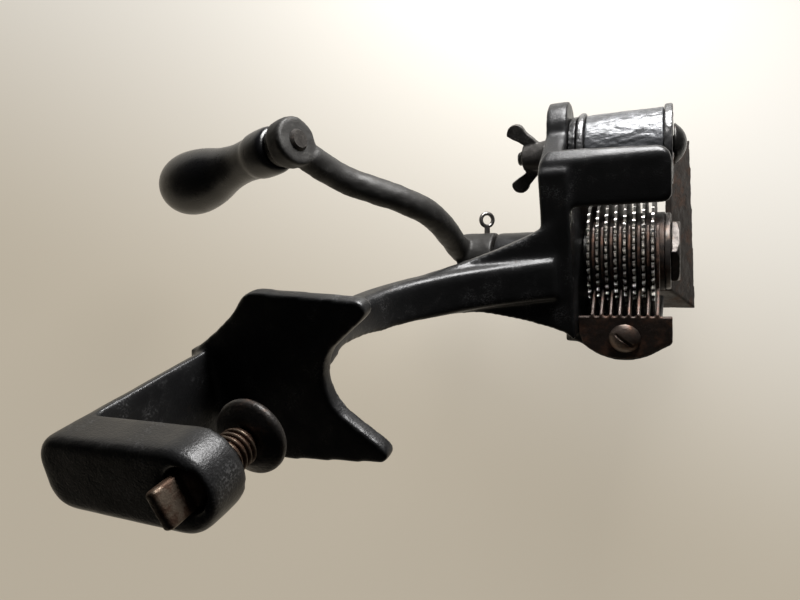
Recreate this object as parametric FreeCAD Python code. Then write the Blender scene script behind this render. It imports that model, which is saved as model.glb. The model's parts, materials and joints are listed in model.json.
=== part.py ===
import FreeCAD, Part
import math
import os

V = FreeCAD.Vector

# A clamp-on kitchen seeder for raisins and other small fruit, in millimetres.
# Origin: clamp screw axis at the underside of the upper jaw. +Z up, +X along the
# crank shaft from the crank towards the toothed discs, table edge enters from +X.

# clamp
jaw_thick = 6.0
jaw_toe_x = 20.0
jaw_toe_y = 25.6
jaw_back_x = -21.0
jaw_back_y = 28.3
jaw_notch_x = 2.5
toe_width = 5.5
spine_x = -47.5
spine_thick = 8.5
spine_width = 18.0
spine_low_y = 12.0
spine_flare_y = 23.0
arm_top_z = -43.0
arm_thick = 13.0
arm_near_y = -9.8
arm_far_y = 12.4
arm_tip_x = 7.6
arm_edge_round = 2.5
clamp_corner = 7.5
screw_radius = 5.2
screw_tip_radius = 3.0
pad_top_z = -30.0
pad_radius = 10.2
pad_thick = 4.5
pad_skin = 1.5
tab_width = 9.5
tab_thick = 3.2
tab_height = 7.6
tab_turn_deg = -20.0
tab_recess = 3.0
tab_travel = 2.3

# head
shaft_z = 150.0
shaft_radius = 7.0
neck_width = 18.0
neck_flange = 5.0
neck_round = 3.0
neck_relief = ((-1, 2.5), (15, 6), (28, 9), (50, 5), (60, 2.5), (72, 1.5), (85, 0))
cheek_x = 46.0
cheek_thick = 12.0
cheek_bottom_z = 108.0
cheek_top_z = 180.0
cheek_half_top = 22.0
sleeve_radius = 11.5
sleeve_end_x = 15.6

# crank
crank_throw = 105.0
crank_rest_deg = 40.6
crank_section = 6.1
hub_radius = 12.0
hub_length = 18.2
eye_x = -41.2
eye_radius = 10.0
eye_thick = 9.0
knob_tilt_deg = 16.0
knob_radius = 14.6
knob_neck_radius = 8.4
knob_collar_radius = 9.8
knob_length = 79.5
rivet_radius = 3.0
rivet_head_thick = 1.6
eye_edge_round = 1.5
knob_washer_thick = 3.0
pin_radius = 1.4
pin_place = 13.0
pin_lean_deg = 14.0
pin_eye_radius = 3.2
pin_wire_radius = 1.0

# toothed discs
disc_count = 8
disc_radius = 28.0
disc_teeth = 48
tooth_depth = 2.2
disc_thick = 1.0
disc_pitch = 3.66
spacer_radius = 17.5
shaft_flat = 5.6
collar_thick = 3.4
end_spacer_thick = 3.6
end_washer_thick = 2.6
end_washer_radius = 17.2
nut_radius = 15.0
nut_bevel = 1.8
nut_thick = 3.6
stud_radius = 5.0

# comb and guard
comb_thick = 2.2
comb_edge_y = 19.0
comb_inset = 2.0
comb_bottom_z = 114.6
finger_thick = 1.3
finger_width = 5.2
boss_thick = 7.0
back_wall_y = 29.2
back_wall_thick = 3.0
back_wall_end_x = 91.0
comb_screw_radius = 2.5
comb_screw_head_radius = 6.6
comb_screw_head_thick = 3.2
comb_screw_x = 77.0
guard_outer_y = -52.0
guard_depth = 23.5
guard_bottom_z = 110.0
guard_thick = 6.0
guard_bevel = 4.4

# pressure roller
roller_y = -46.6
roller_radius = 15.8
roller_core_radius = 12.0
flange_radius = 17.0
flange_thick = 3.4
bolt_radius = 3.5
bolt_head_radius = 8.5
bolt_head_thick = 5.0
ear_thick = 9.0
ear_radius = 12.5
roller_in_travel = 2.3
roller_out_travel = 6.0
washer_radius = 15.8
wing_span = 32.0
wing_nut_depth = 11.0
wing_rest_deg = 6.4
wing_thick = 3.4
wing_hub_base = 7.4
wing_hub_top = 5.8
wing_washer_radius = 9.0
wing_washer_thick = 1.5
bolt_tail = 3.0

# hopper
hopper_floor_z = cheek_top_z
hopper_wall = 2.0
hopper_height = 17.0
hopper_rim_x = (44.0, 105.6)
hopper_rim_y = (-44.0, 43.0)
hopper_rim_skew = 3.0
hopper_floor_x = (46.0, 94.0)
hopper_floor_y = (-36.0, 28.0)
throat_x = (68.0, 91.5)
throat_y = (-33.0, -6.0)
hopper_screw_y = 13.0
hopper_screw_radius = 2.0
hopper_screw_head_radius = 4.0
hopper_screw_head_thick = 2.2
hopper_screw_length = 11.0
driver_slot = 1.3

# fits
run_fit = 0.05
slide_fit = 0.3
gap = 0.4

cheek_face_x = cheek_x + cheek_thick
first_disc_x = cheek_face_x + gap + collar_thick
stack_end_x = first_disc_x + (disc_count - 1) * disc_pitch + disc_thick
end_washer_x = stack_end_x + end_spacer_thick
nut_x = end_washer_x + end_washer_thick
roller_left_x = cheek_face_x - slide_fit
roller_right_x = nut_x + 0.9
ear_x = cheek_x - 1.0
arm_bottom_z = arm_top_z - arm_thick
guard_end_x = nut_x + 0.8
shaft_centre = V(0, 0, shaft_z)


def cylinder(radius, start, end):
    """Round bar between two points."""
    axis = end - start
    return Part.makeCylinder(radius, axis.Length, start, axis)


def shaft_bar(radius, x_from, x_to, y=0.0):
    """Round bar parallel to the shaft, at its height."""
    return cylinder(radius, V(x_from, y, shaft_z), V(x_to, y, shaft_z))


def box(low, high):
    """Box between two corners."""
    size = high - low
    return Part.makeBox(size.x, size.y, size.z, low)


def prism(points, along):
    """Flat outline pushed along a vector."""
    return Part.Face(Part.makePolygon(points + [points[0]])).extrude(along)


def closed_face(edges):
    """Face inside a loop of edges."""
    return Part.Face(Part.Wire(Part.sortEdges(edges)[0]))


def arc(first, middle, last):
    """Arc through three points."""
    return Part.Arc(first, middle, last).toShape()


def line(first, last):
    """Straight edge."""
    return Part.LineSegment(first, last).toShape()


def curve(points):
    """Smooth edge through a few points."""
    spline = Part.BSplineCurve()
    spline.interpolate(points)
    return spline.toShape()


def rounded(shape, radius, keep):
    """Fillet the edges that a test picks."""
    edges = [edge for edge in shape.Edges if keep(edge)]
    return shape.makeFillet(radius, edges)


def jaw_plate():
    """Fishtail upper jaw with a notch between its two toes."""
    z = 0.0
    toe_in = jaw_toe_y - toe_width
    spine_y = spine_width / 2
    edges = []
    for side in (-1, 1):
        notch = V(jaw_notch_x + 6, side * 12, z)
        toe_tip = V(jaw_toe_x - 1, side * toe_in, z)
        toe_nose = V(jaw_toe_x, side * (toe_in + 2), z)
        toe_out = V(jaw_toe_x - 3, side * jaw_toe_y, z)
        back = V(jaw_back_x + 4, side * jaw_back_y, z)
        corner = V(jaw_back_x - 1, side * (jaw_back_y - 1.8), z)
        turn = V(jaw_back_x - 4, side * (jaw_back_y - 5.6), z)
        sag = V(jaw_back_x - 13, side * (spine_y + 7), z)
        root = V(spine_x + 2, side * spine_y, z)
        edges += [line(notch, toe_tip), arc(toe_tip, toe_nose, toe_out), line(toe_out, back)]
        edges += [arc(back, corner, turn), arc(turn, sag, root), line(root, V(spine_x, side * spine_y, z))]
    edges.append(arc(V(jaw_notch_x + 6, -12, z), V(jaw_notch_x, 0, z), V(jaw_notch_x + 6, 12, z)))
    edges.append(line(V(spine_x, -spine_y, z), V(spine_x, spine_y, z)))
    return closed_face(edges).extrude(V(0, 0, jaw_thick))


def clamp_spine():
    """Upright back of the clamp, wider on one side where it meets the jaw."""
    near = -spine_width / 2
    foot_z = arm_bottom_z + arm_edge_round
    outline = [V(spine_x, near, foot_z), V(spine_x, spine_low_y, foot_z),
               V(spine_x, spine_low_y, arm_top_z), V(spine_x, spine_flare_y, jaw_thick),
               V(spine_x, near, jaw_thick)]
    spine = prism(outline, V(spine_thick, 0, 0))

    def at_back(edge):
        return edge.BoundBox.XMax < spine_x + 0.01 and edge.BoundBox.ZLength > 1

    return rounded(spine, clamp_corner, at_back)


def lower_arm():
    """Lower clamp arm with a round end about the screw."""
    back_near = -spine_width / 2
    back_far = spine_low_y
    corner = clamp_corner
    inset = corner * (1 - math.sqrt(0.5))
    tip_start_x = arm_tip_x - (arm_far_y - arm_near_y) / 2
    edges = [arc(V(spine_x + corner, back_near, 0), V(spine_x + inset, back_near + inset, 0),
                 V(spine_x, back_near + corner, 0)),
             line(V(spine_x, back_near + corner, 0), V(spine_x, back_far - corner, 0)),
             arc(V(spine_x, back_far - corner, 0), V(spine_x + inset, back_far - inset, 0),
                 V(spine_x + corner, back_far, 0)),
             line(V(spine_x + corner, back_near, 0), V(tip_start_x, arm_near_y, 0)),
             line(V(spine_x + corner, back_far, 0), V(tip_start_x, arm_far_y, 0)),
             arc(V(tip_start_x, arm_near_y, 0), V(arm_tip_x, (arm_near_y + arm_far_y) / 2, 0),
                 V(tip_start_x, arm_far_y, 0))]
    arm = closed_face(edges).extrude(V(0, 0, arm_thick))
    arm.translate(V(0, 0, arm_bottom_z))
    arm = rounded(arm, arm_edge_round, lambda e: e.BoundBox.ZMax < arm_bottom_z + 0.01)
    hole = cylinder(screw_radius + run_fit, V(0, 0, arm_bottom_z - 1), V(0, 0, arm_top_z + 1))
    recess_radius = math.hypot(tab_width, tab_thick) / 2 + 0.8
    recess = cylinder(recess_radius, V(0, 0, arm_bottom_z - 1), V(0, 0, arm_bottom_z + tab_recess))
    return arm.cut(hole).cut(recess)


def gooseneck():
    """Arm that rises from the jaw and turns forward to the head."""
    y = -neck_width / 2
    foot_in = V(-5.0, y, 0)
    foot_out = V(-20.0, y, 0)
    inner = [V(-6.2, y, 30), V(-6.6, y, 60), V(12, y, 85), V(38, y, 99.5)]
    outer = [V(-20.5, y, 30), V(-19, y, 60), V(-2.5, y, 86), V(16, y, 102.5)]
    inner_end = V(cheek_x + 6, y, cheek_bottom_z - 3)
    outer_end = V(cheek_x + 6, y, cheek_bottom_z + 8)
    edges = [curve([foot_in] + inner + [inner_end]), line(inner_end, outer_end),
             curve([foot_out] + outer + [outer_end]), line(foot_in, foot_out)]
    neck = closed_face(edges).extrude(V(0, neck_width, 0))
    neck = rounded(neck, neck_round, lambda e: e.BoundBox.ZLength > 60)
    side = neck_width / 2
    relief = [V(-30, side - depth, z) for z, depth in neck_relief]
    relief += [V(-30, side + 9, neck_relief[-1][0]), V(-30, side + 9, neck_relief[0][0])]
    return neck.cut(prism(relief, V(60, 0, 0)))


def neck_flare():
    """Flange behind the gooseneck that widens into the cheek."""
    start_x = 2.0
    half = neck_width / 2
    wide = 24.0
    z_low = cheek_bottom_z - 30
    end_x = cheek_x + 6
    edges = []
    for side in (-1, 1):
        mid = V(32, side * (half + neck_flange + 1.5), z_low)
        edges.append(arc(V(start_x, side * half, z_low), mid, V(end_x, side * wide, z_low)))
    edges.append(line(V(start_x, -half, z_low), V(start_x, half, z_low)))
    edges.append(line(V(end_x, -wide, z_low), V(end_x, wide, z_low)))
    web = closed_face(edges).extrude(V(0, 0, 45))
    profile = [V(start_x, -30, 83.0), V(20, -30, 97.5), V(38, -30, 103.5), V(end_x, -30, cheek_bottom_z),
               V(end_x, -30, cheek_bottom_z + 7), V(30, -30, cheek_bottom_z + 1), V(15, -30, 101.0),
               V(start_x, -30, 89.0)]
    return web.common(prism(profile, V(0, 60, 0)))


def cheek():
    """Side plate that carries the shaft, guard, comb boss, ear and hopper."""
    x = cheek_x
    top = cheek_half_top
    outline = [line(V(x, guard_outer_y + 3, cheek_bottom_z + 6), V(x, guard_outer_y + 8, cheek_bottom_z)),
               line(V(x, guard_outer_y + 8, cheek_bottom_z), V(x, 30, cheek_bottom_z)),
               arc(V(x, 30, cheek_bottom_z), V(x, 37, cheek_bottom_z + 3), V(x, 40, cheek_bottom_z + 10)),
               arc(V(x, 40, cheek_bottom_z + 10), V(x, 33, 150), V(x, top, cheek_top_z)),
               line(V(x, top, cheek_top_z), V(x, -top, cheek_top_z)),
               arc(V(x, -top, cheek_top_z), V(x, -25, 150), V(x, -30, 128)),
               line(V(x, -30, 128), V(x, guard_outer_y + 3, cheek_bottom_z + 6))]
    plate = closed_face(outline).extrude(V(cheek_thick, 0, 0))
    wedge = [V(x - 1, 17.5, cheek_bottom_z - 1), V(x + cheek_thick + 1, 29, cheek_bottom_z - 1),
             V(x + cheek_thick + 1, 50, cheek_bottom_z - 1), V(x - 1, 50, cheek_bottom_z - 1)]
    return plate.cut(prism(wedge, V(0, 0, 32)))


def ear():
    """Slotted ear that holds the roller bolt."""
    x = ear_x
    far = roller_y - roller_out_travel - 4.4
    low = shaft_z - ear_radius
    high = shaft_z + ear_radius
    edges = [arc(V(x, far, low), V(x, far - ear_radius, shaft_z), V(x, far, high)),
             line(V(x, far, high), V(x, -18, high + 8)),
             line(V(x, -18, high + 8), V(x, -18, cheek_bottom_z + 8)),
             line(V(x, -18, cheek_bottom_z + 8), V(x, guard_outer_y + 6, cheek_bottom_z + 8)),
             line(V(x, guard_outer_y + 6, cheek_bottom_z + 8), V(x, far, low))]
    plate = closed_face(edges).extrude(V(ear_thick, 0, 0))
    slot_half = bolt_radius + slide_fit
    near_y = roller_y + roller_in_travel
    far_y = roller_y - roller_out_travel
    slot = shaft_bar(slot_half, x - 1, x + ear_thick + 1, near_y)
    slot = slot.fuse(shaft_bar(slot_half, x - 1, x + ear_thick + 1, far_y))
    low_corner = V(x - 1, far_y, shaft_z - slot_half)
    slot = slot.fuse(box(low_corner, V(x + ear_thick + 1, near_y, shaft_z + slot_half)))
    return plate.cut(slot)


def guard():
    """Bevelled plate under the roller, cast with the cheek."""
    x = cheek_x + 1.5
    inner_y = guard_outer_y + guard_depth
    low = guard_bottom_z
    high = low + guard_thick
    section = [V(x, guard_outer_y, low + guard_bevel), V(x, guard_outer_y + guard_bevel, low),
               V(x, inner_y, low), V(x, inner_y, high - 1), V(x, inner_y - 1, high),
               V(x, guard_outer_y, high)]
    slab = prism(section, V(guard_end_x - x, 0, 0))
    end = guard_end_x
    taper = guard_outer_y + 2.0
    plan = [line(V(x, inner_y, 0), V(x, guard_outer_y + 4, 0)),
            arc(V(x, guard_outer_y + 4, 0), V(x + 1.2, guard_outer_y + 1.2, 0), V(x + 5, guard_outer_y, 0)),
            line(V(x + 5, guard_outer_y, 0), V(end - 6, taper, 0)),
            arc(V(end - 6, taper, 0), V(end - 1.6, taper + 1.8, 0), V(end, taper + 6, 0)),
            line(V(end, taper + 6, 0), V(end, inner_y - 3, 0)),
            arc(V(end, inner_y - 3, 0), V(end - 0.9, inner_y - 0.9, 0), V(end - 3, inner_y, 0)),
            line(V(end - 3, inner_y, 0), V(x, inner_y, 0))]
    outline = closed_face(plan).extrude(V(0, 0, guard_thick))
    outline.translate(V(0, 0, low))
    return slab.common(outline)


def ledge(start_x, near_y, z, inset, thick):
    """Flat ledge with a round far side, shared by the boss and the comb."""
    end_x = guard_end_x
    square_y = comb_edge_y + 13 - inset
    corner_y = comb_edge_y + 16 - inset
    far = V(comb_screw_place().x, corner_y + 5, z)
    near_corner = V(cheek_face_x + 2, corner_y - 1.5, z)
    edges = [line(V(start_x, near_y, z), V(end_x, near_y, z)),
             line(V(end_x, near_y, z), V(end_x, square_y, z)),
             line(V(end_x, square_y, z), V(end_x - 5, corner_y, z)),
             arc(V(end_x - 5, corner_y, z), far, near_corner),
             line(near_corner, V(start_x, corner_y - 7, z)),
             line(V(start_x, corner_y - 7, z), V(start_x, near_y, z))]
    return closed_face(edges).extrude(V(0, 0, thick))


def comb_boss():
    """Ledge that the comb is screwed to."""
    return ledge(cheek_x + 6, comb_edge_y + 4, comb_bottom_z + comb_thick, 0, boss_thick)


def back_wall():
    """Wall behind the discs, from the comb ledge up to the hopper."""
    low = V(cheek_x + 6, back_wall_y, comb_bottom_z + comb_thick + 1)
    high = V(back_wall_end_x, back_wall_y + back_wall_thick, cheek_top_z - 1)
    return box(low, high)


def comb_screw_place():
    """Centre of the comb screw on the underside of the comb."""
    return V(comb_screw_x, comb_edge_y + 9.5, comb_bottom_z)


def comb_screw_bore(radius):
    """Hole for the comb screw."""
    place = comb_screw_place()
    return cylinder(radius, place - V(0, 0, 1), place + V(0, 0, comb_thick + boss_thick + 1))


def hopper_screw_bores(radius):
    """Holes for the two hopper screws."""
    holes = []
    for side in (-1, 1):
        top = V(cheek_x + cheek_thick / 2, side * hopper_screw_y, cheek_top_z)
        bottom = top - V(0, 0, hopper_screw_length + 1)
        holes.append(cylinder(radius, bottom, top + V(0, 0, hopper_wall + 1)))
    return holes[0].fuse(holes[1])


def frame_casting():
    """Whole iron casting: clamp, gooseneck and head."""
    casting = jaw_plate()
    pieces = [clamp_spine(), lower_arm(), gooseneck(), neck_flare(), cheek(), ear(), guard(), comb_boss(),
              back_wall(), shaft_bar(sleeve_radius, sleeve_end_x, cheek_x + 1)]
    for piece in pieces:
        casting = casting.fuse(piece)
    casting = casting.cut(shaft_bar(shaft_radius + run_fit, sleeve_end_x - 1, cheek_face_x + 1))
    casting = casting.cut(comb_screw_bore(comb_screw_radius + run_fit))
    casting = casting.cut(hopper_screw_bores(hopper_screw_radius + run_fit))
    return casting.removeSplitter()


def clamp_screw():
    """Clamp screw with a round tip and a flat thumb tab."""
    shoulder_z = pad_top_z - pad_thick - gap
    tab_top = arm_bottom_z + tab_recess - tab_travel
    body = cylinder(screw_radius, V(0, 0, tab_top - 1), V(0, 0, shoulder_z))
    tip = cylinder(screw_tip_radius, V(0, 0, shoulder_z - 1), V(0, 0, pad_top_z - pad_skin - gap))
    tab_corner = V(tab_thick / 2, tab_width / 2, tab_top)
    tab = box(V(-tab_thick / 2, -tab_width / 2, tab_top - tab_height), tab_corner)
    tab = rounded(tab, 1.6, lambda e: e.BoundBox.XLength > 1 and e.BoundBox.ZLength < 0.01)
    tab.rotate(V(0, 0, 0), V(0, 0, 1), tab_turn_deg)
    return body.fuse(tip).fuse(tab).removeSplitter()


def clamp_pad():
    """Round swivel pad on the tip of the screw."""
    bottom = pad_top_z - pad_thick
    pad = cylinder(pad_radius, V(0, 0, bottom + 2), V(0, 0, pad_top_z))
    pad = pad.fuse(Part.makeCone(pad_radius - 3.5, pad_radius, 2, V(0, 0, bottom)))
    socket = cylinder(screw_tip_radius + run_fit, V(0, 0, bottom - 1), V(0, 0, pad_top_z - pad_skin))
    return pad.cut(socket).removeSplitter()


def crank_shaft():
    """Shaft with a collar, a flatted seat for the discs and a threaded end."""
    hub_end = sleeve_end_x - gap - hub_length
    shaft = shaft_bar(shaft_radius, hub_end, nut_x)
    flat = box(V(first_disc_x, -20, shaft_z + shaft_flat), V(nut_x + 1, 20, shaft_z + 20))
    shaft = shaft.cut(flat)
    shaft = shaft.fuse(shaft_bar(hub_radius, cheek_face_x + gap, first_disc_x))
    shaft = shaft.fuse(shaft_bar(stud_radius, nut_x - 1, nut_x + nut_thick - 1))
    return shaft.cut(split_pin_bore(pin_radius)).removeSplitter()


def split_pin_line():
    """Centre line of the split pin, from its tail to its eye."""
    x = sleeve_end_x - gap - hub_length + pin_place
    lean = math.radians(pin_lean_deg)
    way = V(0, -math.cos(lean), math.sin(lean))
    centre = V(x, 0, shaft_z)
    return centre - way * (hub_radius + 4), centre + way * (hub_radius + 3.5), way


def split_pin_bore(radius):
    """Hole through hub and shaft for the split pin."""
    tail, eye, way = split_pin_line()
    return cylinder(radius, tail - way * 4, eye + way * 4)


def split_pin():
    """Split pin with a round eye."""
    tail, eye, way = split_pin_line()
    pin = cylinder(pin_radius, tail, eye)
    loop_centre = eye + way * (pin_eye_radius - 0.2)
    face = V(0.6, 0.2, -0.77).cross(way).cross(way) * -1
    loop = Part.makeTorus(pin_eye_radius, pin_wire_radius, loop_centre, face)
    return pin.fuse(loop)


def crank_radial():
    """Unit vector from the shaft to the handle."""
    angle = math.radians(crank_rest_deg)
    return V(0, -math.sin(angle), -math.cos(angle))


def crank_point(x, radius):
    """Point in the crank's own plane."""
    return shaft_centre + V(x, 0, 0) + crank_radial() * radius


def handle_axis():
    """Direction of the handle rivet, away from the head."""
    tilt = math.radians(knob_tilt_deg)
    return V(-math.cos(tilt), 0, 0) - crank_radial() * math.sin(tilt)


def crank_arm():
    """S-shaped crank with a hub and an eye."""
    hub_end = sleeve_end_x - gap - hub_length
    hub = shaft_bar(hub_radius, hub_end, sleeve_end_x - gap)
    throw = crank_throw
    path = [(-1.0, 0.05 * throw), (-2.2, 0.22 * throw), (-4.0, 0.40 * throw), (-15.5, 0.58 * throw),
            (-31.0, 0.725 * throw), (-37.4, 0.85 * throw), (eye_x, throw)]
    spine = Part.Wire(curve([crank_point(x, radius) for x, radius in path]))
    start = crank_point(*path[0])
    section = Part.Wire(Part.makeCircle(crank_section, start, crank_radial()))
    arm = spine.makePipeShell([section], True, False)
    eye = crank_point(eye_x, throw)
    half = handle_axis() * (eye_thick / 2)
    boss = cylinder(eye_radius, eye - half, eye + half)
    boss = rounded(boss, eye_edge_round, lambda e: len(e.Vertexes) == 1)
    crank = arm.fuse(hub)
    for face in (-1, 1):
        crank = crank.cut(cylinder(eye_radius, eye + half * face, eye + half * face * 3))
    crank = crank.fuse(boss)
    crank = crank.cut(shaft_bar(shaft_radius, hub_end - 1, sleeve_end_x))
    crank = crank.cut(cylinder(rivet_radius, eye - half * 3, eye + half * 3))
    return crank.cut(split_pin_bore(pin_radius)).removeSplitter()


def knob_start():
    """Centre of the knob's inner face."""
    return crank_point(eye_x, crank_throw) + handle_axis() * (eye_thick / 2 + knob_washer_thick + gap)


def along_handle(shape):
    """Stand a shape made along +Z on the handle axis."""
    turn = FreeCAD.Rotation(V(0, 0, 1), handle_axis())
    shape.Placement = FreeCAD.Placement(knob_start(), turn)
    return shape


def handle_knob():
    """Pear-shaped knob bored for its rivet."""
    collar_end = 0.17 * knob_length
    neck = 0.34 * knob_length
    widest = 0.78 * knob_length
    side = curve([V(knob_collar_radius, 0, collar_end), V(knob_neck_radius, 0, neck),
                  V(0.83 * knob_radius, 0, 0.55 * knob_length), V(knob_radius, 0, widest),
                  V(0.72 * knob_radius, 0, 0.95 * knob_length), V(rivet_radius + 1.6, 0, knob_length)])
    edges = [side, line(V(knob_collar_radius, 0, collar_end), V(knob_collar_radius, 0, 1)),
             line(V(knob_collar_radius, 0, 1), V(knob_collar_radius - 1, 0, 0)),
             line(V(knob_collar_radius - 1, 0, 0), V(0, 0, 0)), line(V(0, 0, 0), V(0, 0, knob_length)),
             line(V(0, 0, knob_length), V(rivet_radius + 1.6, 0, knob_length))]
    knob = closed_face(edges).revolve(V(0, 0, 0), V(0, 0, 1), 360)
    bore = cylinder(rivet_radius + run_fit, V(0, 0, -1), V(0, 0, knob_length + 1))
    return along_handle(knob.cut(bore))


def knob_washer():
    """Washer between the crank's eye and the knob."""
    washer = cylinder(knob_collar_radius - 2, V(0, 0, -gap - knob_washer_thick), V(0, 0, -gap))
    return along_handle(washer.cut(cylinder(rivet_radius, V(0, 0, -9), V(0, 0, 9))))


def handle_rivet():
    """Rivet that holds the knob, with a head at each end."""
    back = -gap - knob_washer_thick - eye_thick
    rivet = cylinder(rivet_radius, V(0, 0, back - 1), V(0, 0, knob_length + gap + 0.5))
    rivet = rivet.fuse(Part.makeCone(rivet_radius + 0.4, rivet_radius + 1.4, 1.2, V(0, 0, back - 1.2)))
    head = Part.makeCone(rivet_radius + 1.5, rivet_radius - 1, rivet_head_thick, V(0, 0, knob_length + gap))
    return along_handle(rivet.fuse(head).removeSplitter())


def flatted_bore(x_from, x_to):
    """Hole that fits the flatted part of the shaft."""
    hole = shaft_bar(shaft_radius + run_fit, x_from - 1, x_to + 1)
    flat = box(V(x_from - 2, -20, shaft_z + shaft_flat + run_fit), V(x_to + 2, 20, shaft_z + 20))
    return hole.cut(flat)


def disc_x(index):
    """Near face of one toothed disc."""
    return first_disc_x + index * disc_pitch


def saw_disc(index):
    """Thin disc with raked teeth; each is turned a little from the last."""
    x = disc_x(index)
    step = 2 * math.pi / disc_teeth
    turn = index * step * 0.37
    root = disc_radius - tooth_depth
    points = []
    for tooth in range(disc_teeth):
        start = turn + tooth * step
        for part, radius in ((0.0, root), (0.72, disc_radius), (0.86, disc_radius)):
            angle = start + part * step
            points.append(V(x, radius * math.sin(angle), shaft_z + radius * math.cos(angle)))
    disc = prism(points, V(disc_thick, 0, 0))
    return disc.cut(flatted_bore(x, x + disc_thick))


def ring(radius, x_from, x_to):
    """Spacer ring on the flatted shaft."""
    return shaft_bar(radius, x_from, x_to).cut(flatted_bore(x_from, x_to))


def disc_nut():
    """Six-sided nut with a bevelled outer face."""
    points = []
    for corner in range(6):
        angle = math.radians(60 * corner + 12)
        points.append(V(nut_x, nut_radius * math.sin(angle), shaft_z + nut_radius * math.cos(angle)))
    nut = prism(points, V(nut_thick, 0, 0))
    centre = V(nut_x, 0, shaft_z)
    bevel = Part.makeCone(nut_radius + 3, nut_radius - nut_bevel, nut_thick, centre, V(1, 0, 0))
    return nut.common(bevel).cut(shaft_bar(stud_radius, nut_x - 1, nut_x + nut_thick + 1))


def comb_finger(x):
    """One finger that reaches between two discs and curls under the spacers."""
    outer = disc_radius - tooth_depth - 0.6
    inner = outer - finger_width

    def rim(radius, degrees):
        angle = math.radians(degrees)
        return V(x, radius * math.sin(angle), shaft_z - radius * math.cos(angle))

    root_low = V(x, comb_edge_y + 3, comb_bottom_z)
    root_high = V(x, comb_edge_y + 3, comb_bottom_z + comb_thick)
    edges = [line(root_low, V(x, comb_edge_y - 1, comb_bottom_z)),
             line(V(x, comb_edge_y - 1, comb_bottom_z), rim(outer, 24)),
             arc(rim(outer, 24), rim(outer, -8), rim(outer, -40)),
             line(rim(outer, -40), rim(inner, -46)),
             arc(rim(inner, -46), rim(inner, -5), rim(inner, 38)),
             line(rim(inner, 38), root_high), line(root_high, root_low)]
    return closed_face(edges).extrude(V(finger_thick, 0, 0))


def comb_plate():
    """Comb with one finger beside each disc."""
    left = cheek_face_x + slide_fit
    plate = ledge(left, comb_edge_y, comb_bottom_z, comb_inset, comb_thick)
    for index in range(disc_count):
        x = disc_x(index) + (disc_thick + disc_pitch) / 2 - finger_thick / 2
        plate = plate.fuse(comb_finger(x))
    return plate.cut(comb_screw_bore(comb_screw_radius)).removeSplitter()


def slotted_dome(radius, height, place, way, slot_way):
    """Low domed screw head with a driver slot."""
    ball_radius = (radius ** 2 + height ** 2) / (2 * height)
    ball = Part.makeSphere(ball_radius, place + way * (height - ball_radius))
    head = cylinder(radius, place, place + way * height).common(ball)
    across = way.cross(slot_way)
    slot_centre = place + way * (height + 0.2)
    corner = slot_centre - slot_way * (radius + 1) - across * (driver_slot / 2) - way * 1.6
    other = corner + across * driver_slot
    slot = prism([corner, other, other + way * 1.6, corner + way * 1.6], slot_way * (2 * radius + 2))
    return head.cut(slot)


def comb_screw():
    """Domed slotted screw through the comb."""
    place = comb_screw_place()
    down = V(0, 0, -1)
    head = slotted_dome(comb_screw_head_radius, comb_screw_head_thick, place, down, V(0.8, 0.6, 0))
    stem = cylinder(comb_screw_radius, place, place + V(0, 0, comb_thick + boss_thick - 0.5))
    return head.fuse(stem).removeSplitter()


def roller_core():
    """Metal spool of the roller, with a flange at each end."""
    y = roller_y
    core = shaft_bar(roller_core_radius, roller_left_x, roller_right_x, y)
    core = core.fuse(shaft_bar(flange_radius, roller_left_x, roller_left_x + flange_thick, y))
    core = core.fuse(shaft_bar(flange_radius, roller_right_x - flange_thick, roller_right_x, y))
    return core.cut(shaft_bar(bolt_radius + run_fit, roller_left_x - 1, roller_right_x + 1, y))


def roller_sleeve():
    """Rubber sleeve between the flanges."""
    left = roller_left_x + flange_thick
    right = roller_right_x - flange_thick
    sleeve = shaft_bar(roller_radius, left, right, roller_y)
    return sleeve.cut(shaft_bar(roller_core_radius, left - 1, right + 1, roller_y))


def roller_bolt():
    """Bolt that the roller turns on, clamped in the ear."""
    head_x = roller_right_x + slide_fit
    place = V(head_x, roller_y, shaft_z)
    head = slotted_dome(bolt_head_radius, bolt_head_thick, place, V(1, 0, 0), V(0, 1, 0))
    tail_x = ear_x - wing_washer_thick - wing_nut_depth - bolt_tail
    return head.fuse(shaft_bar(bolt_radius, tail_x, head_x, roller_y)).removeSplitter()


def washer(radius, x_from, x_to, clearance):
    """Flat washer on the roller bolt."""
    hole = shaft_bar(bolt_radius + clearance, x_from - 1, x_to + 1, roller_y)
    return shaft_bar(radius, x_from, x_to, roller_y).cut(hole)


def wing_nut():
    """Wing nut with a tapered hub and two wings that sweep back."""
    seat_x = ear_x - wing_washer_thick - 2 * slide_fit
    end_x = seat_x - wing_nut_depth
    place = V(seat_x, roller_y, shaft_z)
    nut = Part.makeCone(wing_hub_base, wing_hub_top, wing_nut_depth, place, V(-1, 0, 0))
    z = shaft_z - wing_thick / 2
    tip_x = end_x - 2.5
    for side in (-1, 1):
        root = roller_y + 4.5 * side
        tip = roller_y + side * wing_span / 2
        front = V(tip_x + 4.2, tip - side * 3.4, z)
        back = V(tip_x - 4.2, tip - side * 5.0, z)
        edges = [line(V(seat_x - 1.5, root, z), front),
                 arc(front, V(tip_x - 0.5, tip, z), back),
                 line(back, V(end_x + 2, root + side, z)),
                 line(V(end_x + 2, root + side, z), V(end_x + 2, root, z)),
                 line(V(end_x + 2, root, z), V(seat_x - 1.5, root, z))]
        nut = nut.fuse(closed_face(edges).extrude(V(0, 0, wing_thick)))
    nut = nut.cut(shaft_bar(bolt_radius + run_fit, end_x - 10, seat_x + 1, roller_y))
    nut.rotate(place, V(1, 0, 0), wing_rest_deg)
    return nut.removeSplitter()


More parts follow.
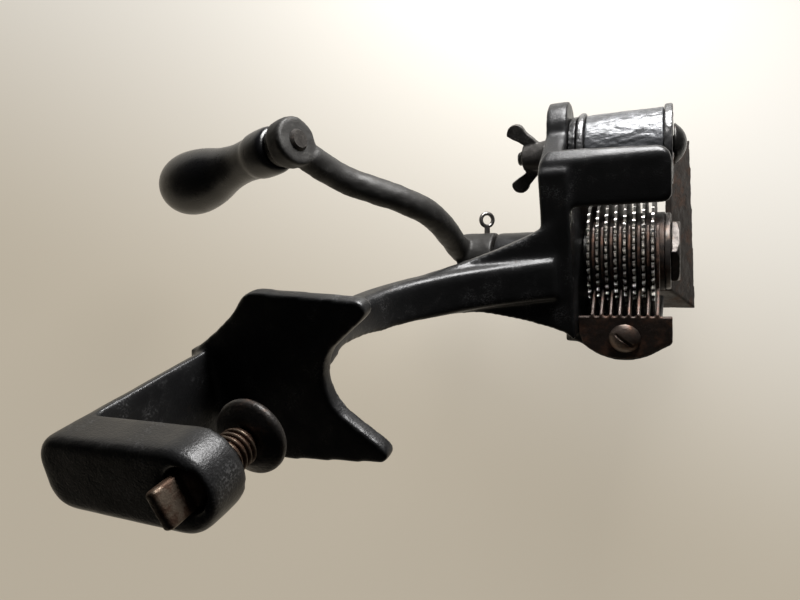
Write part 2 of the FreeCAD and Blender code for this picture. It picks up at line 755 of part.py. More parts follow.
def hopper():
    """Flared tray with a slot in its floor above the nip."""
    floor_low = V(hopper_floor_x[0], hopper_floor_y[0], hopper_floor_z)
    rim_low = V(hopper_rim_x[0], hopper_rim_y[0], hopper_floor_z + hopper_height)

    def loop(inset, z, xs, ys, skew):
        corners = [V(xs[0] + inset, ys[0] + inset, z), V(xs[1] - inset - skew, ys[0] + inset, z),
                   V(xs[1] - inset, ys[1] - inset, z), V(xs[0] + inset, ys[1] - inset, z)]
        return Part.makePolygon(corners + [corners[0]])

    lift = hopper_wall
    outer = Part.makeLoft([loop(0, floor_low.z, hopper_floor_x, hopper_floor_y, 0),
                           loop(0, rim_low.z, hopper_rim_x, hopper_rim_y, hopper_rim_skew)], True, True)
    inner_floor = loop(lift, floor_low.z + lift, hopper_floor_x, hopper_floor_y, 0)
    inner_rim = loop(lift, rim_low.z + lift, hopper_rim_x, hopper_rim_y, hopper_rim_skew)
    inner = Part.makeLoft([inner_floor, inner_rim], True, True)
    tray = outer.cut(inner)
    slot_end = V(throat_x[1], throat_y[1], floor_low.z + lift + 1)
    slot = box(V(throat_x[0], throat_y[0], floor_low.z - 1), slot_end)
    return tray.cut(slot).cut(hopper_screw_bores(hopper_screw_radius))


def hopper_screws():
    """Two round-headed screws that hold the hopper on the cheek."""
    solids = []
    for side in (-1, 1):
        place = V(cheek_x + cheek_thick / 2, side * hopper_screw_y, cheek_top_z + hopper_wall)
        up = V(0, 0, 1)
        head = slotted_dome(hopper_screw_head_radius, hopper_screw_head_thick, place, up, V(1, 0, 0))
        stem = cylinder(hopper_screw_radius, place - V(0, 0, hopper_screw_length), place)
        solids.append(head.fuse(stem).removeSplitter())
    return Part.makeCompound(solids)


def build_nodes():
    """Every piece by its node name."""
    seat_x = ear_x - slide_fit
    ear_end_x = ear_x + ear_thick + slide_fit
    nodes = {
        "frame_casting": frame_casting(),
        "clamp_screw": clamp_screw(),
        "clamp_pad": clamp_pad(),
        "crank_shaft": crank_shaft(),
        "crank_arm": crank_arm(),
        "split_pin": split_pin(),
        "handle_knob": handle_knob(),
        "knob_washer": knob_washer(),
        "handle_rivet": handle_rivet(),
        "end_spacer": ring(spacer_radius, stack_end_x, end_washer_x),
        "end_washer": ring(end_washer_radius, end_washer_x, nut_x),
        "disc_nut": disc_nut(),
        "comb_plate": comb_plate(),
        "comb_screw": comb_screw(),
        "roller_core": roller_core(),
        "roller_sleeve": roller_sleeve(),
        "roller_bolt": roller_bolt(),
        "ear_washer": washer(washer_radius, ear_end_x, roller_left_x - slide_fit, 0),
        "wing_washer": washer(wing_washer_radius, seat_x - wing_washer_thick, seat_x, run_fit),
        "wing_nut": wing_nut(),
        "hopper": hopper(),
        "hopper_screws": hopper_screws(),
    }
    for index in range(disc_count):
        nodes["saw_disc_%d" % (index + 1)] = saw_disc(index)
    for index in range(disc_count - 1):
        start = disc_x(index) + disc_thick
        nodes["disc_spacer_%d" % (index + 1)] = ring(spacer_radius, start, disc_x(index + 1))
    return nodes


os.makedirs("parts", exist_ok=True)
for name, shape in build_nodes().items():
    shape.exportStep("parts/" + name + ".step")
    print(name, len(shape.Solids), "valid" if shape.isValid() else "NOT VALID", round(shape.Volume))
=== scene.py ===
import json
import math

import bmesh
import bpy
from mathutils import Matrix, Vector, noise

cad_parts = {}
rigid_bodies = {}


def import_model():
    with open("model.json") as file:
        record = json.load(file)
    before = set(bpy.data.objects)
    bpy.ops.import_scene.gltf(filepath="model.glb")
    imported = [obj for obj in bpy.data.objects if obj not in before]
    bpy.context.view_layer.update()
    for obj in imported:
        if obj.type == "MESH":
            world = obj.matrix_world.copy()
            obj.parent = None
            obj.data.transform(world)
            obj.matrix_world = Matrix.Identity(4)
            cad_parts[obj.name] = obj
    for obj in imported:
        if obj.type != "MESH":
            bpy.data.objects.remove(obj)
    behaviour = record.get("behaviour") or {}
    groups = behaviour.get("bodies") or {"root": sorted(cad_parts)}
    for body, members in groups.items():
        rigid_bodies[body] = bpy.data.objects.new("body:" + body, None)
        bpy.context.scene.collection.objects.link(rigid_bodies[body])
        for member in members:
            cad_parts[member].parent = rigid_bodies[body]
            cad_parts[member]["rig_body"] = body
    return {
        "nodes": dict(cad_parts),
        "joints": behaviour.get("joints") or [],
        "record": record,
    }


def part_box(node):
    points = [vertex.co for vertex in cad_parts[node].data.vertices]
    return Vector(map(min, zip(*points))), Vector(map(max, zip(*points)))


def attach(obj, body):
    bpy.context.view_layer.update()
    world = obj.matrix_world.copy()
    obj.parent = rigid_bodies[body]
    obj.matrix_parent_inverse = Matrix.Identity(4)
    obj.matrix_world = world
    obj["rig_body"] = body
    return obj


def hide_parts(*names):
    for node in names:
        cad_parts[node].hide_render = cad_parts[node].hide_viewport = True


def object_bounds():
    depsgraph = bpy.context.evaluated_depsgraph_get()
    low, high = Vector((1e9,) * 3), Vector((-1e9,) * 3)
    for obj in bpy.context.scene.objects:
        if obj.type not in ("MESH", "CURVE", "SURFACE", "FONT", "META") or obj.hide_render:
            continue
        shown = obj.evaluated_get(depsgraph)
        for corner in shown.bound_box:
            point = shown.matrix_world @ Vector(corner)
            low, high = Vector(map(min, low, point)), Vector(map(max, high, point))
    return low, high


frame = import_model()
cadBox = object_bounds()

mm = 0.001
nodes = frame["nodes"]
joints = {joint["name"]: joint for joint in frame["joints"]}
slotOf = {part["node"]: part["material_slot"] for part in frame["record"]["subparts"]}
boxLow, boxHigh = Vector(cadBox[0]), Vector(cadBox[1])
middle = (boxLow + boxHigh) / 2
shaftZ = joints["crank_turn"]["pos_m"][2]
rollerY = joints["roller_spin"]["pos_m"][1]
xAxis = Vector((1, 0, 0))
zAxis = Vector((0, 0, 1))


# shader helpers

class Wire:
    # a socket or number that can stand in a sum
    def __init__(self, finish, socket):
        self.finish = finish
        self.socket = socket

    def maths(self, operation, *others):
        return self.finish.node("ShaderNodeMath", {"operation": operation}, self, *others)

    def __add__(self, other): return self.maths("ADD", other)
    def __radd__(self, other): return self.maths("ADD", other)
    def __sub__(self, other): return self.maths("SUBTRACT", other)
    def __rsub__(self, other):
        return self.finish.node("ShaderNodeMath", {"operation": "SUBTRACT"}, other, self)

    def __mul__(self, other): return self.maths("MULTIPLY", other)
    def __rmul__(self, other): return self.maths("MULTIPLY", other)
    def __truediv__(self, other): return self.maths("DIVIDE", other)
    def __pow__(self, other): return self.maths("POWER", other)

    def between(self, low, high):  # 0 below low, 1 above high, smooth in between
        smooth = {"interpolation_type": "SMOOTHSTEP"}
        return self.finish.node("ShaderNodeMapRange", smooth, self, low, high, 0.0, 1.0)


class Finish:
    # one material and the few calls that build it
    def __init__(self, name):
        self.material = bpy.data.materials.new(name)
        self.material.use_nodes = True
        self.tree = self.material.node_tree
        self.tree.nodes.clear()
        self.output = self.tree.nodes.new("ShaderNodeOutputMaterial")
        self.place = self.node("ShaderNodeTexCoord", {}, output="Object")

    def node(self, kind, settings, *values, output=None, **named):
        made = self.tree.nodes.new(kind)
        for key, value in settings.items():
            if key == "stops":
                ramp = made.color_ramp.elements
                while len(ramp) < len(value):
                    ramp.new(0.5)
                for element, (spot, colour) in zip(ramp, value):
                    element.position = spot
                    element.color = (*colour, 1)
            else:
                setattr(made, key, value)
        usable = [socket for socket in made.inputs if socket.enabled]
        for socket, value in zip(usable, values):
            self.feed(socket, value)
        for key, value in named.items():
            title = key.replace("_", " ")
            self.feed(next(socket for socket in usable if socket.name == title), value)
        shown = [socket for socket in made.outputs if socket.enabled]
        chosen = next((socket for socket in shown if socket.name == output), shown[0])
        return Wire(self, chosen)

    def feed(self, socket, value):
        if isinstance(value, Wire):
            self.tree.links.new(value.socket, socket)
        elif isinstance(value, tuple) and len(value) == 3 and socket.type == "RGBA":
            socket.default_value = (*value, 1)
        else:
            socket.default_value = value

    def axis(self, letter):
        return self.node("ShaderNodeSeparateXYZ", {}, self.place, output=letter)

    def cloud(self, scale, detail=3.0, rough=0.6, stretch=(1, 1, 1)):
        spot = self.place
        if stretch != (1, 1, 1):
            spot = self.node("ShaderNodeVectorMath", {"operation": "MULTIPLY"}, self.place, stretch)
        return self.node("ShaderNodeTexNoise", {}, Vector=spot, Scale=scale, Detail=detail, Roughness=rough)

    def mixed(self, amount, first, second):
        return self.node("ShaderNodeMix", {"data_type": "RGBA"}, amount, first, second)

    def bumped(self, height, distance, strength=1.0, under=None):
        extra = {"Normal": under} if under else {}
        return self.node("ShaderNodeBump", {}, Height=height, Distance=distance, Strength=strength, **extra)

    def surface(self, colour, roughness, metallic, normal=None, **more):
        named = {"Base_Color": colour, "Roughness": roughness, "Metallic": metallic, **more}
        if normal:
            named["Normal"] = normal
        shader = self.node("ShaderNodeBsdfPrincipled", {}, **named)
        self.tree.links.new(shader.socket, self.output.inputs["Surface"])
        return self.material


def castFinish(name, dark, pale, rust, rustAmount, grainScale, grainDepth, roughLow, roughHigh, metallic):
    # sand-cast iron under thin worn paint: grains, pits and brown blotches
    cast = Finish(name)
    grain = cast.cloud(grainScale, 2.0, 0.55)
    pits = cast.cloud(grainScale * 0.4, 3.0, 0.6)
    blotch = cast.cloud(95.0, 4.0, 0.65)
    worn = blotch.between(0.5, 0.72) * grain.between(0.45, 0.65)
    rusty = cast.cloud(140.0, 5.0, 0.7).between(0.66 - 0.3 * rustAmount, 0.78 - 0.2 * rustAmount)
    colour = cast.mixed(worn, dark, pale)
    colour = cast.mixed(rusty * (0.3 + 0.6 * rustAmount), colour, rust)
    roughness = blotch.between(0.3, 0.7) * (roughHigh - roughLow) + roughLow
    roughness = roughness + rusty * 0.15
    normal = cast.bumped(pits, grainDepth * 0.5)
    normal = cast.bumped(grain, grainDepth, 1.0, normal)
    return cast.surface(colour, roughness, metallic, normal)


finishes = {
    "black_casting": castFinish("black casting", (0.02, 0.02, 0.021), (0.1, 0.1, 0.103),
                                (0.045, 0.032, 0.024),
                                0.12, 1600.0, 0.00009, 0.28, 0.46, 0.55),
    "crank_iron": castFinish("crank iron", (0.018, 0.017, 0.016), (0.06, 0.057, 0.053), (0.045, 0.032, 0.024),
                             0.2, 1200.0, 0.00008, 0.46, 0.64, 0.3),
    "wing_iron": castFinish("wing iron", (0.045, 0.042, 0.04), (0.13, 0.12, 0.115), (0.1, 0.07, 0.05),
                            0.25, 1200.0, 0.0001, 0.3, 0.5, 0.55),
    "pad_iron": castFinish("pad iron", (0.015, 0.013, 0.012), (0.05, 0.042, 0.036), (0.08, 0.045, 0.03),
                           0.5, 1200.0, 0.00012, 0.36, 0.55, 0.5),
    "hopper_iron": castFinish("hopper iron", (0.05, 0.042, 0.038), (0.11, 0.085, 0.075), (0.13, 0.075, 0.052),
                              0.6, 1000.0, 0.00014, 0.42, 0.62, 0.4),
    "spacer_iron": castFinish("spacer iron", (0.025, 0.02, 0.018), (0.07, 0.048, 0.04), (0.08, 0.045, 0.03),
                              0.7, 1400.0, 0.00015, 0.4, 0.62, 0.4),
    "rusty_comb": castFinish("rusty comb", (0.055, 0.04, 0.034), (0.13, 0.095, 0.078), (0.17, 0.085, 0.055),
                             0.65, 1300.0, 0.0001, 0.38, 0.58, 0.5),
    "washer_steel": castFinish("washer steel", (0.07, 0.062, 0.058), (0.2, 0.18, 0.165), (0.15, 0.09, 0.06),
                               0.5, 1200.0, 0.00008, 0.3, 0.48, 0.7),
    "dark_steel": castFinish("dark steel", (0.03, 0.029, 0.028), (0.1, 0.097, 0.094), (0.07, 0.045, 0.035),
                             0.25, 900.0, 0.00012, 0.24, 0.42, 0.8),
    "roller_metal": castFinish("roller metal", (0.09, 0.09, 0.093), (0.24, 0.24, 0.245), (0.11, 0.09, 0.08),
                               0.2, 900.0, 0.00014, 0.26, 0.44, 0.8),
    "rivet_steel": castFinish("rivet steel", (0.03, 0.027, 0.025), (0.1, 0.09, 0.08), (0.08, 0.05, 0.035),
                              0.4, 1200.0, 0.0001, 0.35, 0.55, 0.7),
    "pin_wire": castFinish("pin wire", (0.16, 0.15, 0.145), (0.35, 0.34, 0.33), (0.17, 0.1, 0.07),
                           0.3, 1500.0, 0.00006, 0.22, 0.4, 0.9),
    "rusty_screw": castFinish("rusty screw", (0.13, 0.1, 0.085), (0.32, 0.27, 0.23), (0.18, 0.09, 0.055),
                              0.55, 1200.0, 0.00012, 0.28, 0.5, 0.8),
}


def knobFinish():
    # satin black paint over turned wood, with faint turning lines
    paint = Finish("black knob")
    grain = paint.cloud(420.0, 5.0, 0.7)
    scuff = paint.cloud(120.0, 4.0, 0.6).between(0.58, 0.72)
    colour = paint.mixed(scuff * 0.5, (0.004, 0.004, 0.005), (0.016, 0.015, 0.015))
    roughness = grain * 0.2 + 0.2 + scuff * 0.12
    normal = paint.bumped(grain, 0.00012, 0.6)
    return paint.surface(colour, roughness, 0.0, normal, IOR=1.5)


def threadFinish():
    # steel brown with rust in its threads, bright on the crests and the tab
    steel = Finish("screw steel")
    across = (steel.axis("X") ** 2.0 + steel.axis("Y") ** 2.0) ** 0.5
    low = 1.0 - steel.axis("Z").between(-0.06, -0.052)
    crest = across.between(0.0047, 0.0051)
    patch = steel.cloud(260.0, 4.0, 0.65).between(0.42, 0.6)
    bright = (crest * patch).maths("MAXIMUM", low * patch)
    colour = steel.mixed(bright, (0.06, 0.034, 0.022), (0.16, 0.125, 0.095))
    roughness = 0.58 - bright * 0.2
    normal = steel.bumped(steel.cloud(1300.0), 0.00012)
    return steel.surface(colour, roughness, 0.75, normal)


def discFinish():
    # dark sheet steel; the tooth tips are painted near white, partly worn steel and partly a painted glint
    steel = Finish("disc steel")
    high = steel.axis("Z") - shaftZ
    across = (steel.axis("Y") ** 2.0 + high ** 2.0) ** 0.5
    # painted glint: the tooth tips are painted bright, partly as wear and partly as a glint of light
    tip = across.between(0.0258, 0.0274)
    stain = steel.cloud(320.0, 4.0, 0.7)
    colour = steel.mixed(stain.between(0.4, 0.65), (0.03, 0.026, 0.024), (0.08, 0.065, 0.056))
    colour = steel.mixed(tip * stain.between(0.25, 0.45), colour, (0.55, 0.53, 0.5))
    roughness = 0.48 - tip * 0.2
    return steel.surface(colour, roughness, 0.8, steel.bumped(stain, 0.0001))


def rubberFinish():
    # old hard rubber, grey and shiny, wrinkled along the roller
    rubber = Finish("roller rubber")
    wrinkle = rubber.cloud(700.0, 4.0, 0.65, (0.45, 1, 1))
    fine = rubber.cloud(1900.0, 3.0, 0.6)
    dust = rubber.cloud(150.0, 4.0, 0.6).between(0.45, 0.7)
    colour = rubber.mixed(dust, (0.05, 0.052, 0.057), (0.1, 0.103, 0.112))
    roughness = fine * 0.25 + 0.18
    normal = rubber.bumped(fine, 0.00008, 1.0, rubber.bumped(wrinkle, 0.00018))
    return rubber.surface(colour, roughness, 0.35, normal, IOR=1.6)


finishes["black_knob"] = knobFinish()
finishes["screw_steel"] = threadFinish()
finishes["disc_steel"] = discFinish()
finishes["roller_rubber"] = rubberFinish()

for nodeName, nodeObject in nodes.items():
    nodeObject.data.materials.clear()
    nodeObject.data.materials.append(finishes[slotOf[nodeName]])
print("finishes made:", len(finishes))


# mesh helpers

def keep(mesh, name, nodeName, more=()):
    # finishes a piece that stands for a CAD node
    mesh.name = name
    piece = bpy.data.objects.new(name, mesh)
    bpy.context.scene.collection.objects.link(piece)
    mesh.materials.clear()
    mesh.materials.append(finishes[slotOf[nodeName]])
    for face in mesh.polygons:
        face.use_smooth = True
    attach(piece, nodes[nodeName]["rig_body"])
    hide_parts(nodeName, *more)
    return piece


def shapeMesh(shape, name, merge=0.01 * mm):
    # a bmesh becomes a mesh, with doubles merged and faces turned outwards
    bmesh.ops.remove_doubles(shape, verts=shape.verts, dist=merge)
    bmesh.ops.recalc_face_normals(shape, faces=shape.faces)
    mesh = bpy.data.meshes.new(name)
    shape.to_mesh(mesh)
    shape.free()
    return mesh


def softSkin(name, nodeName, size):
    # copy of a CAD piece with its edges rounded like a casting's
    shape = bmesh.new()
    shape.from_mesh(nodes[nodeName].data)
    bmesh.ops.remove_doubles(shape, verts=shape.verts, dist=0.001 * mm)
    rough = bpy.data.meshes.new(name)
    shape.to_mesh(rough)
    shape.free()
    helper = bpy.data.objects.new(name + "Helper", rough)
    bpy.context.scene.collection.objects.link(helper)
    voxels = helper.modifiers.new("voxels", "REMESH")
    voxels.mode = "VOXEL"
    voxels.voxel_size = size["voxel"]
    voxels.use_smooth_shade = True
    soften = helper.modifiers.new("soften", "SMOOTH")
    soften.factor = 0.5
    soften.iterations = size["rounds"]
    layer = bpy.context.evaluated_depsgraph_get()
    mesh = bpy.data.meshes.new_from_object(helper.evaluated_get(layer))
    bpy.data.objects.remove(helper)
    if size.get("rough"):
        roughen(mesh, size["rough"], size["lump"], size.get("stretch", (1, 1, 1)))
    return keep(mesh, name, nodeName)


def roughen(mesh, depth, lump, stretch):
    # hammers small hollows into a mesh along its normals, never outwards
    mesh.update()
    ways = [corner.vector.copy() for corner in mesh.vertex_normals]
    for vertex, way in zip(mesh.vertices, ways):
        spot = Vector(a * b for a, b in zip(vertex.co, stretch)) / lump
        push = noise.fractal(spot, 1.0, 2.0, 3)
        vertex.co += way * depth * (min(push, 0.6) - 0.6)


def turned(name, profile, start, way, steps=96):
    # spins an outline of (distance along, radius) pairs about an axis
    shape = bmesh.new()
    side = way.orthogonal().normalized()
    points = [shape.verts.new(start + way * along + side * radius) for along, radius in profile]
    edges = [shape.edges.new(pair) for pair in zip(points, points[1:])]
    bmesh.ops.spin(shape, geom=points + edges, cent=start, axis=way, dvec=(0, 0, 0), angle=2 * math.pi,
                   steps=steps, use_merge=True, use_duplicate=False)
    return shapeMesh(shape, name)


def helix(name, start, way, length, root, crest, pitch):
    # one raised thread, closed at both ends
    shape = bmesh.new()
    side = way.orthogonal().normalized()
    outline = [(-0.42, root - 0.1 * mm), (-0.06, crest), (0.06, crest), (0.42, root - 0.1 * mm)]
    points = [shape.verts.new(start + way * pitch * along + side * radius) for along, radius in outline]
    edges = [shape.edges.new((points[i], points[(i + 1) % len(points)])) for i in range(len(points))]
    turns = length / pitch
    steps = int(turns * 28)
    bmesh.ops.spin(shape, geom=points + edges, cent=start, axis=way, dvec=way * length / steps,
                   angle=2 * math.pi * turns, steps=steps, use_duplicate=False)
    bmesh.ops.holes_fill(shape, edges=[edge for edge in shape.edges if edge.is_boundary], sides=0)
    bmesh.ops.recalc_face_normals(shape, faces=shape.faces)
    mesh = bpy.data.meshes.new(name)
    shape.to_mesh(mesh)
    shape.free()
    return mesh


def joined(name, meshes):
    # several closed meshes in one
    shape = bmesh.new()
    for mesh in meshes:
        shape.from_mesh(mesh)
    whole = bpy.data.meshes.new(name)
    shape.to_mesh(whole)
    shape.free()
    return whole


# castings

castings = {
    "frameSkin": ("frame_casting", {"voxel": 0.9 * mm, "rounds": 14, "rough": 0.06 * mm, "lump": 8.0 * mm}),
    "crankSkin": ("crank_arm", {"voxel": 0.7 * mm, "rounds": 10, "rough": 0.3 * mm, "lump": 8.0 * mm}),
    "wingNutSkin": ("wing_nut", {"voxel": 0.35 * mm, "rounds": 8, "rough": 0.12 * mm, "lump": 3.0 * mm}),
    "hopperSkin": ("hopper", {"voxel": 0.7 * mm, "rounds": 3, "rough": 0.18 * mm, "lump": 4.0 * mm}),
    "combSkin": ("comb_plate", {"voxel": 0.35 * mm, "rounds": 3, "rough": 0.08 * mm, "lump": 2.5 * mm}),
    "combScrewSkin": ("comb_screw", {"voxel": 0.22 * mm, "rounds": 4, "rough": 0.06 * mm, "lump": 2.0 * mm}),
    "rollerSkin": ("roller_core", {"voxel": 0.6 * mm, "rounds": 5, "rough": 0.35 * mm, "lump": 4.0 * mm}),
    "sleeveSkin": ("roller_sleeve", {"voxel": 0.45 * mm, "rounds": 4, "rough": 0.2 * mm, "lump": 1.7 * mm,
                                     "stretch": (0.45, 1, 1)}),
    "earWasherSkin": ("ear_washer", {"voxel": 0.4 * mm, "rounds": 4, "rough": 0.3 * mm, "lump": 3.0 * mm}),
    "nutSkin": ("disc_nut", {"voxel": 0.35 * mm, "rounds": 4, "rough": 0.12 * mm, "lump": 3.0 * mm}),
    "washerSkin": ("end_washer", {"voxel": 0.4 * mm, "rounds": 4, "rough": 0.15 * mm, "lump": 4.0 * mm}),
}
for skinName, (nodeName, size) in castings.items():
    softSkin(skinName, nodeName, size)
print("castings made:", len(castings))


# clamp screw, with its threads and thumb tab

screwSize = {"core": 4.45 * mm, "crest": 5.2 * mm, "pitch": 1.75 * mm, "tip": 3.0 * mm,
             "tab": (3.2 * mm, 9.5 * mm), "tabTall": 7.6 * mm, "tabRound": 1.1 * mm,
             "tabTurn": -20.0, "shoulder": 3.0 * mm}


def clampScrew():
    low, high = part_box("clamp_screw")
    size = screwSize
    tabTop = low.z + size["tabTall"]
    shoulder = high.z - size["shoulder"]
    stem = turned("stem", [(0, 0), (0, size["core"]), (shoulder - tabTop, size["core"]),
                           (shoulder - tabTop, size["tip"]), (high.z - tabTop, size["tip"]),
                           (high.z - tabTop, 0)],
                  Vector((0, 0, tabTop)), zAxis, 48)
    threadStart = Vector((0, 0, tabTop + size["pitch"]))
    threadLength = shoulder - tabTop - 1.5 * size["pitch"]
    thread = helix("thread", threadStart, zAxis, threadLength, size["core"], size["crest"], size["pitch"])
    shape = bmesh.new()
    width, across = size["tab"]
    bmesh.ops.create_cube(shape, size=1)
    bmesh.ops.scale(shape, vec=(width, across, size["tabTall"] + 1 * mm), verts=shape.verts)
    bmesh.ops.translate(shape, vec=(0, 0, low.z + size["tabTall"] / 2 + 0.5 * mm), verts=shape.verts)
    turn = Matrix.Rotation(math.radians(size["tabTurn"]), 3, "Z")
    bmesh.ops.rotate(shape, cent=(0, 0, 0), matrix=turn, verts=shape.verts)
    bmesh.ops.bevel(shape, geom=shape.edges[:], offset=size["tabRound"], segments=4, profile=0.5,
                    affect="EDGES", material=-1)
    tab = shapeMesh(shape, "tab")
    return keep(joined("screwThreaded", [stem, thread, tab]), "screwThreaded", "clamp_screw")


clampScrew()


# swivel pad

padSize = {"bore": 3.1 * mm, "skin": 1.5 * mm}


def clampPad():
    low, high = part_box("clamp_pad")
    radius = (high.x - low.x) / 2
    tall = high.z - low.z
    inner = padSize["bore"]
    socket = tall - padSize["skin"]
    profile = [(socket, 0), (socket, inner), (0, inner), (0, radius - 4.2 * mm),
               (0.4 * mm, radius - 3.3 * mm),
               (1.6 * mm, radius - 0.9 * mm), (2.2 * mm, radius - 0.2 * mm), (2.9 * mm, radius),
               (tall - 0.9 * mm, radius), (tall - 0.25 * mm, radius - 0.3 * mm),
               (tall, radius - 1.1 * mm), (tall, 0)]
    return keep(turned("padTurned", profile, Vector((0, 0, low.z)), zAxis), "padTurned", "clamp_pad")


clampPad()


# handle knob, turned about the rivet

knobSize = {"length": 79.5 * mm, "start": 7.9 * mm, "bore": 3.3 * mm, "collar": 9.8 * mm, "neck": 8.4 * mm,
            "belly": 14.6 * mm}


def handleKnob():
    size = knobSize
    joint = joints["handle_spin"]
    way = Vector(joint["axis"]).normalized()
    start = Vector(joint["pos_m"]) + way * size["start"]
    length = size["length"]
    outline = [(0, size["bore"]), (0, 0.82 * size["collar"]), (0.012, 0.93 * size["collar"]),
               (0.03, size["collar"]), (0.12, size["collar"]), (0.165, 0.97 * size["collar"]),
               (0.185, 0.9 * size["collar"]), (0.22, 0.885 * size["collar"]), (0.3, 0.98 * size["neck"]),
               (0.38, 1.06 * size["neck"]), (0.47, 0.68 * size["belly"]), (0.56, 0.83 * size["belly"]),
               (0.66, 0.945 * size["belly"]), (0.76, size["belly"]), (0.84, 0.965 * size["belly"]),
               (0.9, 0.87 * size["belly"]), (0.95, 0.71 * size["belly"]), (0.98, 0.52 * size["belly"]),
               (0.995, 0.36 * size["belly"]), (0.998, size["bore"])]
    profile = [(share * length, radius) for share, radius in outline]
    mesh = turned("knobTurned", profile + [profile[0]], start, way)
    knob = keep(mesh, "knobTurned", "handle_knob")
    rounding = knob.modifiers.new("rounding", "SUBSURF")
    rounding.levels = 2
    rounding.render_levels = 2
    return knob


handleKnob()


# roller bolt, with its domed head and a threaded tail

boltSize = {"core": 3.1 * mm, "crest": 3.45 * mm, "shank": 3.5 * mm, "pitch": 1.4 * mm, "head": 8.5 * mm,
            "headTall": 5.0 * mm, "threadEnd": 40 * mm}


def rollerBolt():
    low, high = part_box("roller_bolt")
    size = boltSize
    start = Vector((low.x, rollerY, shaftZ))
    length = high.x - low.x
    headStart = length - size["headTall"]
    threaded = size["threadEnd"] - low.x
    ball = (size["head"] ** 2 + size["headTall"] ** 2) / (2 * size["headTall"])
    dome = []
    for step in range(9):
        radius = size["head"] * (1 - step / 8)
        dome.append((length - ball + math.sqrt(ball ** 2 - radius ** 2), radius))
    dome[0] = (headStart + 0.5 * mm, size["head"])
    profile = [(0, 0), (0, size["core"] - 0.5 * mm), (0.6 * mm, size["core"]), (threaded, size["core"]),
               (threaded + 0.4 * mm, size["shank"]), (headStart, size["shank"]),
               (headStart, size["head"] - 0.3 * mm)]
    stem = turned("stem", profile + dome, start, xAxis, 48)
    thread = helix("thread", start + xAxis * size["pitch"] * 0.6, xAxis, threaded - 1.2 * size["pitch"],
                   size["core"], size["crest"], size["pitch"])
    return keep(joined("boltThreaded", [stem, thread]), "boltThreaded", "roller_bolt")


rollerBolt()
print("screws, pad and knob made")


# camera, stage and lights

view = {"place": (0.098, -0.0703, -0.136), "forward": (-0.4226, 0.2811, 0.8616), "up": (0, -0.9507, 0.3102),
        "lens": 27.0, "sensor": 36.0}
forward = Vector(view["forward"]).normalized()
right = forward.cross(Vector(view["up"])).normalized()
up = right.cross(forward)

cameraData = bpy.data.cameras.new("camera")
cameraData.lens = view["lens"]
cameraData.sensor_width = view["sensor"]
cameraData.clip_start = 0.01
camera = bpy.data.objects.new("camera", cameraData)
camera.matrix_world = Matrix.Translation(view["place"]) @ Matrix((right, up, -forward)).transposed().to_4x4()
bpy.context.scene.collection.objects.link(camera)
bpy.context.scene.camera = camera

stageSize = {"wide": 1.5, "gap": 0.004, "below": 0.006}
# stageShade to stagePale along the slope is the backdrop's painted light fall-off; the floor stays evenly
# stagePale
stagePale, stageShade = (0.9, 0.87, 0.81), (0.52, 0.46, 0.365)
stageGlow, stageLightSlope, stageLightEdges = 0.86, (0.45, 1.1), (-0.3, 0.8)
stageMatt = 0.16


def oneSidedFinish(name, ramp, glow):
    # pale from its front and clear from its back, so no view is blocked; given a ramp, it paints a light
    # fall-off, darker towards the bottom and left of the main view, and glows with it
    sheet = Finish(name)
    if ramp is None:
        tone = stagePale
    else:
        vectors = "ShaderNodeVectorMath"
        spot = sheet.node(vectors, {"operation": "SUBTRACT"}, sheet.place, tuple(view["place"]))
        along = sheet.node(vectors, {"operation": "DOT_PRODUCT"}, spot, tuple(ramp), output="Value")
        # painted light fall-off: the shade colour low on the ramp, the pale colour high on it
        tone = sheet.mixed(along.between(*stageLightEdges), stageShade, stagePale)
    paint = sheet.mixed(stageMatt, (0, 0, 0), tone)
    front = sheet.node("ShaderNodeBsdfPrincipled", {}, Base_Color=paint, Roughness=0.9,
                       Emission_Color=tone, Emission_Strength=glow)
    clear = sheet.node("ShaderNodeBsdfTransparent", {})
    back = sheet.node("ShaderNodeNewGeometry", {}, output="Backfacing")
    both = sheet.node("ShaderNodeMixShader", {}, back, front, clear)
    sheet.tree.links.new(both.socket, sheet.output.inputs["Surface"])
    return sheet.material


def stageSheet(name, centre, facing, finish):
    shape = bmesh.new()
    bmesh.ops.create_grid(shape, x_segments=1, y_segments=1, size=stageSize["wide"] / 2)
    turn = Vector(facing).to_track_quat("Z", "Y").to_matrix().to_4x4()
    bmesh.ops.transform(shape, matrix=Matrix.Translation(centre) @ turn, verts=shape.verts)
    mesh = bpy.data.meshes.new(name)
    shape.to_mesh(mesh)
    shape.free()
    mesh.materials.append(finish)
    sheet = bpy.data.objects.new(name, mesh)
    bpy.context.scene.collection.objects.link(sheet)
    return sheet


cameraPlace = Vector(view["place"])
reach = max((vertex.co - cameraPlace).dot(forward) for nodeName in ("hopper", "handle_knob", "frame_casting")
            for vertex in nodes[nodeName].data.vertices) + stageSize["gap"]
# the painted light fall-off gets paler up and to the right across the backdrop, as seen from the main camera
ramp = (right * stageLightSlope[0] + up * stageLightSlope[1]) / reach
stageSheet("backdrop", cameraPlace + forward * reach, -forward, oneSidedFinish("pale table", ramp, stageGlow))
floor = stageSheet("floor", Vector((middle.x, middle.y, boxLow.z - stageSize["below"])), zAxis,
                   oneSidedFinish("pale floor", None, stageGlow))
floor.visible_diffuse = False
floor.visible_glossy = False

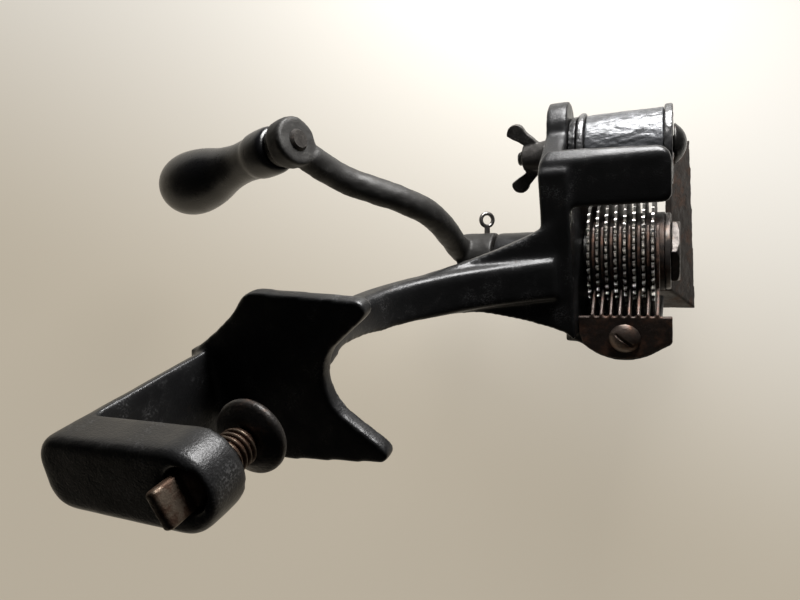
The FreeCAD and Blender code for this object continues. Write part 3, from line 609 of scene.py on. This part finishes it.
head = Vector((0.04, -0.03, 0.125))
lamps = {
    "window": {"at": head, "from": (0.08, 0.93, -0.42), "far": 0.25,
                 "size": 0.14, "power": 2.4, "colour": (1.0, 0.99, 0.97)},
    "windowLeft": {"at": middle, "from": (-0.5, 0.8, 0.15), "far": 0.8,
                 "size": 0.3, "power": 0.2, "colour": (0.98, 0.99, 1.0)},
    "roomBack": {"at": middle, "from": (-0.3, -0.75, 0.6), "far": 0.9,
                 "size": 0.6, "power": 2.0, "colour": (1.0, 0.97, 0.93)},
    "roomTop": {"at": middle, "from": (0.5, 0.2, 0.9), "far": 0.9,
                 "size": 0.6, "power": 3.0, "colour": (1.0, 0.98, 0.95)},
}
for lampName, lamp in lamps.items():
    side, rise, depth = lamp["from"]
    place = lamp["at"] + (right * side + up * rise + forward * depth).normalized() * lamp["far"]
    lightData = bpy.data.lights.new(lampName, "AREA")
    lightData.size = lamp["size"]
    lightData.energy = lamp["power"]
    lightData.color = lamp["colour"]
    light = bpy.data.objects.new(lampName, lightData)
    turn = (place - lamp["at"]).to_track_quat("Z", "Y").to_matrix().to_4x4()
    light.matrix_world = Matrix.Translation(place) @ turn
    light.visible_camera = False
    bpy.context.scene.collection.objects.link(light)

# the room lights little, but its walls look pale behind the object
world = bpy.data.worlds.new("room")
world.use_nodes = True
dim = world.node_tree.nodes["Background"]
dim.inputs["Color"].default_value = (0.9, 0.88, 0.84, 1)
dim.inputs["Strength"].default_value = 0.02
wall = world.node_tree.nodes.new("ShaderNodeBackground")
wall.inputs["Color"].default_value = (*stagePale, 1)
wall.inputs["Strength"].default_value = 0.9
seen = world.node_tree.nodes.new("ShaderNodeLightPath")
either = world.node_tree.nodes.new("ShaderNodeMixShader")
world.node_tree.links.new(seen.outputs["Is Camera Ray"], either.inputs["Fac"])
world.node_tree.links.new(dim.outputs["Background"], either.inputs[1])
world.node_tree.links.new(wall.outputs["Background"], either.inputs[2])
world.node_tree.links.new(either.outputs["Shader"], world.node_tree.nodes["World Output"].inputs["Surface"])
bpy.context.scene.world = world
bpy.context.scene.view_settings.view_transform = "Standard"
print("stage and lights set")
